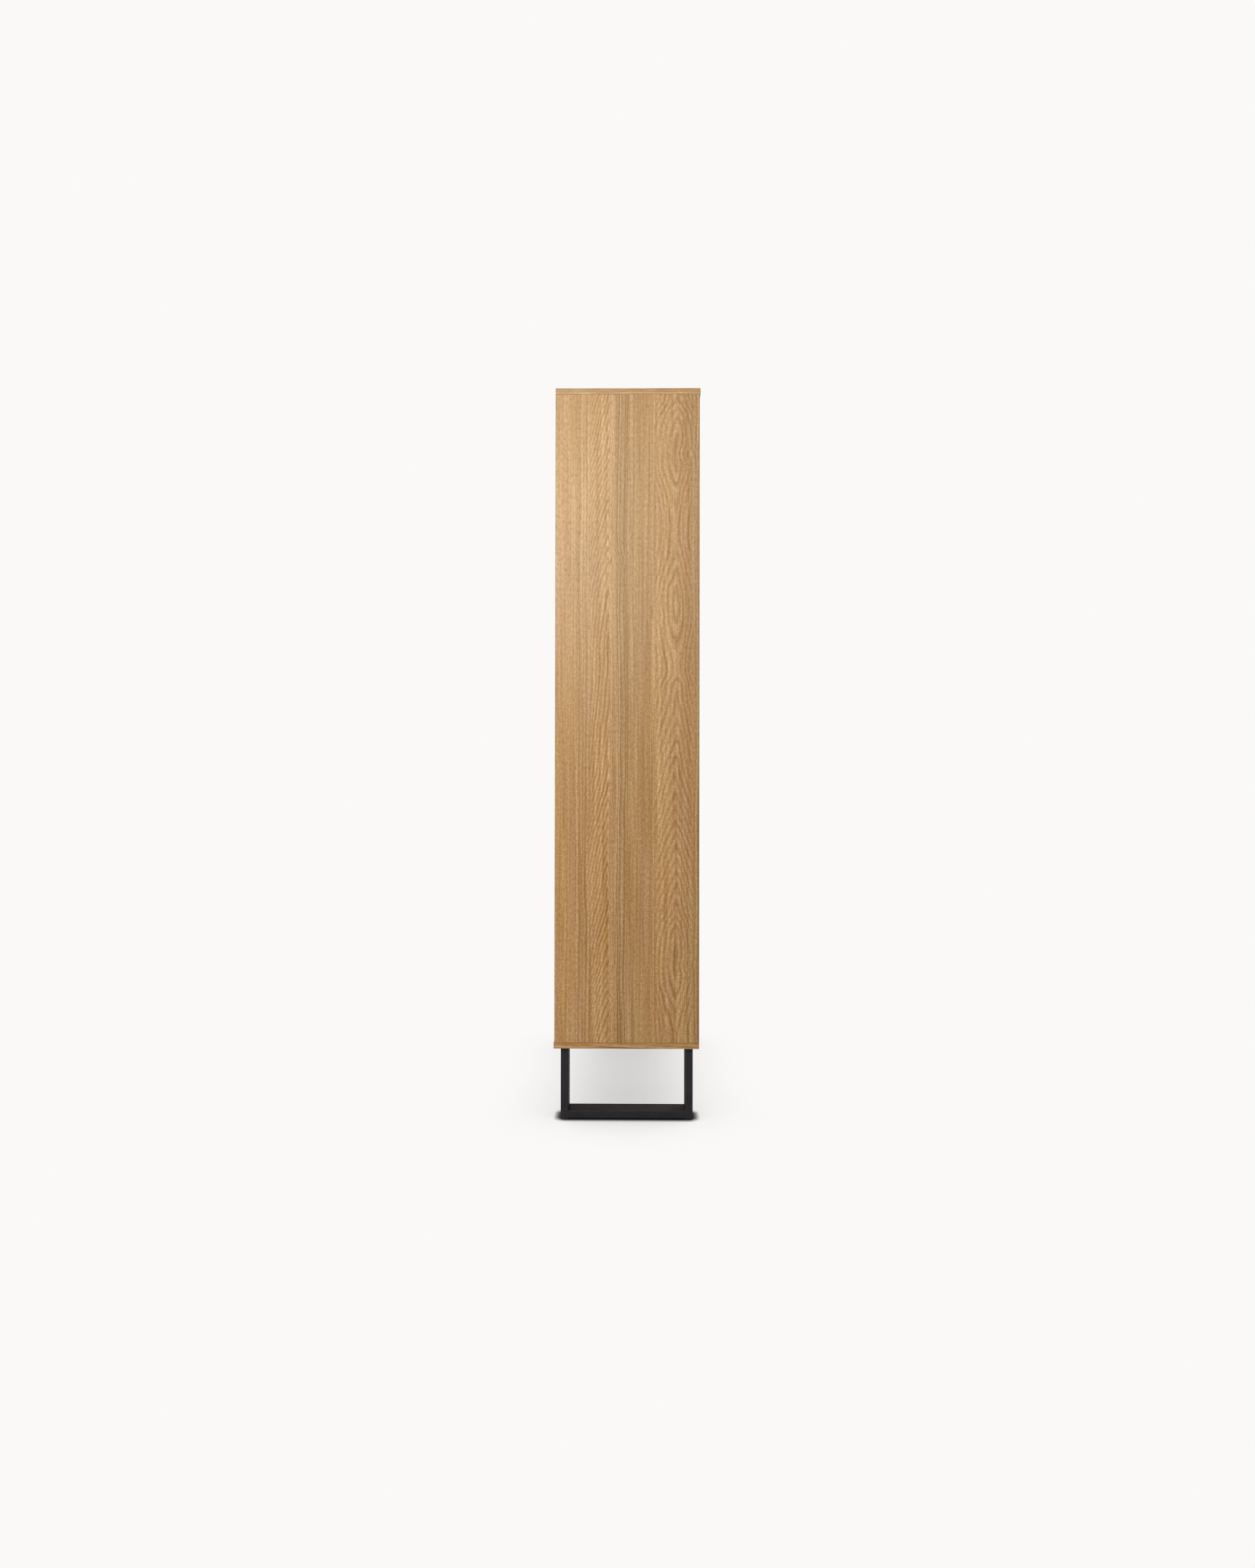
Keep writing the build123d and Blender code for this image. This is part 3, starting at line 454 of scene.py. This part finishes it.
# Across the right side panel: mm back from the front edge, tone, strength of the grain lines.
SIDE_BANDS = [
    (0.0, 1.05, 0.10),
    (48.0, 1.03, 0.16),
    (62.0, 1.00, 0.60),
    (105.0, 1.02, 0.80),
    (125.0, 1.05, 0.95),
    (160.0, 1.00, 1.0),
    (176.0, 0.88, 1.0),
    (204.0, 0.88, 1.0),
    (214.0, 0.93, 0.30),
    (258.0, 0.94, 0.30),
    (270.0, 1.02, 0.75),
    (292.0, 1.02, 0.70),
    (335.0, 0.99, 0.70),
    (370.0, 0.90, 0.75),
    (394.0, 0.84, 0.80),
]
# For each board: the axis of its grain, the start of its strip on the roll and its shift in mm.
OAK_BOARDS = {
    "right_side_panel": ("Z", 0.0, 0.0, SIDE_BANDS),
    "left_side_panel": ("Z", 420.0, 500.0),
    "upper_left_door": ("Z", 550.0, 900.0),
    "lower_left_door": ("Z", 550.0, 900.0),
    "upper_right_door": ("Z", 950.0, 250.0),
    "lower_right_door": ("Z", 950.0, 250.0),
    "top_board": ("X", 620.0, 100.0),
    "bottom_board": ("X", 300.0, 700.0),
    "middle_fixed_shelf": ("X", 800.0, 300.0),
    "lower_loose_shelf": ("X", 10.0, 1200.0),
    "upper_loose_shelf_low": ("X", 560.0, 800.0),
    "upper_loose_shelf_high": ("X", 740.0, 450.0),
}
OAK_MATERIALS = {node: oak(node, *cut) for node, cut in OAK_BOARDS.items()}
BLACK_A, BLACK_B = (0.018, 0.018, 0.019), (0.03, 0.03, 0.03)
SLOT_MATERIALS = {
    "hardboard": hardboard("hardboard"),
    "black_steel": powder_coat("black_powder_coat"),
    "black_pull": powder_coat("black_pull_coat", 2.2),
    "zinc_steel": plated_steel("zinc_plate", (0.60, 0.60, 0.58), (0.72, 0.71, 0.66), 0.34),
    "beech": beech("beech"),
    "white_nylon": moulded_plastic("white_nylon", (0.72, 0.71, 0.66), (0.80, 0.79, 0.75), 0.45),
    "black_plastic": moulded_plastic("black_plastic", BLACK_A, BLACK_B, 0.55),
    "tan_plastic": moulded_plastic("tan_plastic", (0.42, 0.27, 0.13), (0.48, 0.31, 0.16), 0.5),
    "magnet": plated_steel("magnet_poles", (0.16, 0.16, 0.17), (0.30, 0.30, 0.31), 0.45),
}
for subpart in frame["record"]["subparts"]:
    node = subpart["node"]
    paint(node, OAK_MATERIALS.get(node) or SLOT_MATERIALS[subpart["material_slot"]])


# ---------------------------------------------------------------- stage
FLOOR_SIZE = 60.0
CONTACT_SHADOW_REACH, SOFT_SHADOW_REACH = 0.022, 0.32     # m around a leg or the cabinet that its painted shadow on the floor reaches
FILL_COLOUR = (1.0, 0.97, 0.90)


def make_floor():
    """A pale floor, seen as bright as the backdrop, with painted shadow where it is hemmed in: its
    glow to the camera is darkened by ambient occlusion.
    """
    bpy.ops.mesh.primitive_plane_add(size=FLOOR_SIZE)
    floor = bpy.context.object
    floor.name = "floor"
    material, tree = new_material("floor")
    near, wide = (
        tree.node("ShaderNodeAmbientOcclusion", {"Distance": reach}, samples=16).outputs["AO"]
        for reach in (CONTACT_SHADOW_REACH, SOFT_SHADOW_REACH)
    )
    # Painted shadow: the floor's glow towards the camera is darkened by ambient occlusion near the
    # legs and under the cabinet.
    shade = tree.mul(tree.math("POWER", near, 5.5), tree.step(wide, 0.0, 1.0, 0.50, 1.0))
    seen = tree.node("ShaderNodeEmission", {"Color": tree.mix(shade, (0, 0, 0), BACKDROP)})
    lit = tree.node("ShaderNodeBsdfDiffuse", {"Color": (0.54, 0.54, 0.54, 1)})
    camera_ray = tree.node("ShaderNodeLightPath").outputs["Is Camera Ray"]
    both = tree.node("ShaderNodeMixShader", {0: camera_ray, 1: lit.outputs[0], 2: seen.outputs[0]})
    tree.node("ShaderNodeOutputMaterial", {0: both.outputs[0]})
    floor.data.materials.append(material)


def make_world():
    """A plain backdrop that gives a little even light."""
    world = bpy.data.worlds.new("studio")
    world.use_nodes = True
    bpy.context.scene.world = world
    tree = Tree(world.node_tree)
    seen = tree.node("ShaderNodeBackground", {0: (*BACKDROP, 1), 1: 1.0})
    lit = tree.node("ShaderNodeBackground", {0: (1.0, 0.99, 0.95, 1), 1: 0.28})
    camera_ray = tree.node("ShaderNodeLightPath").outputs["Is Camera Ray"]
    both = tree.node("ShaderNodeMixShader", {0: camera_ray, 1: lit.outputs[0], 2: seen.outputs[0]})
    tree.node("ShaderNodeOutputWorld", {0: both.outputs[0]})


def area_light(name, place_at, aim, side, power, colour):
    """A square soft light of so many watts, at a place and turned to another, all in metres."""
    data = bpy.data.lights.new(name, "AREA")
    data.shape = "SQUARE"
    data.size = side
    data.energy = power
    data.color = colour
    lamp = bpy.data.objects.new(name, data)
    lamp.location = place_at
    lamp.rotation_euler = (Vector(aim) - Vector(place_at)).to_track_quat("-Z", "Y").to_euler()
    bpy.context.scene.collection.objects.link(lamp)


def make_camera():
    """A nearly level camera in front of the right side panel, 0.9 m above the floor."""
    data = bpy.data.cameras.new("camera")
    data.sensor_width = 36.0
    data.lens = 21.71
    camera = bpy.data.objects.new("camera", data)
    yaw, pitch, roll = (math.radians(a) for a in (-0.507, 0.347, 0.09))
    level = math.cos(pitch)
    forward = Vector((-math.cos(yaw) * level, math.sin(yaw) * level, math.sin(pitch)))
    level_right = Vector((math.sin(yaw), math.cos(yaw), 0.0))
    right = Matrix.Rotation(-roll, 3, forward) @ level_right
    up = right.cross(forward)
    axes = Matrix((right, up, -forward)).transposed()
    camera.matrix_world = Matrix.Translation((3.027, 0.024, 0.903)) @ axes.to_4x4()
    bpy.context.scene.collection.objects.link(camera)
    bpy.context.scene.camera = camera


make_floor()
make_world()
area_light("key", (3.5, -0.78, 2.5), (0.45, -0.05, 1.62), 1.0, 69, (1.0, 0.94, 0.73))
area_light("front_fill", (-0.6, -3.6, 2.2), (0.0, 0.0, 1.0), 2.0, 95, FILL_COLOUR)
area_light("back_fill", (-2.2, 2.6, 2.2), (0.0, 0.0, 1.0), 2.0, 75, FILL_COLOUR)
area_light("top_fill", (-0.9, -0.5, 4.2), (-0.1, 0.0, 2.0), 1.2, 26, FILL_COLOUR)
make_camera()
bpy.context.scene.view_settings.view_transform = "Standard"
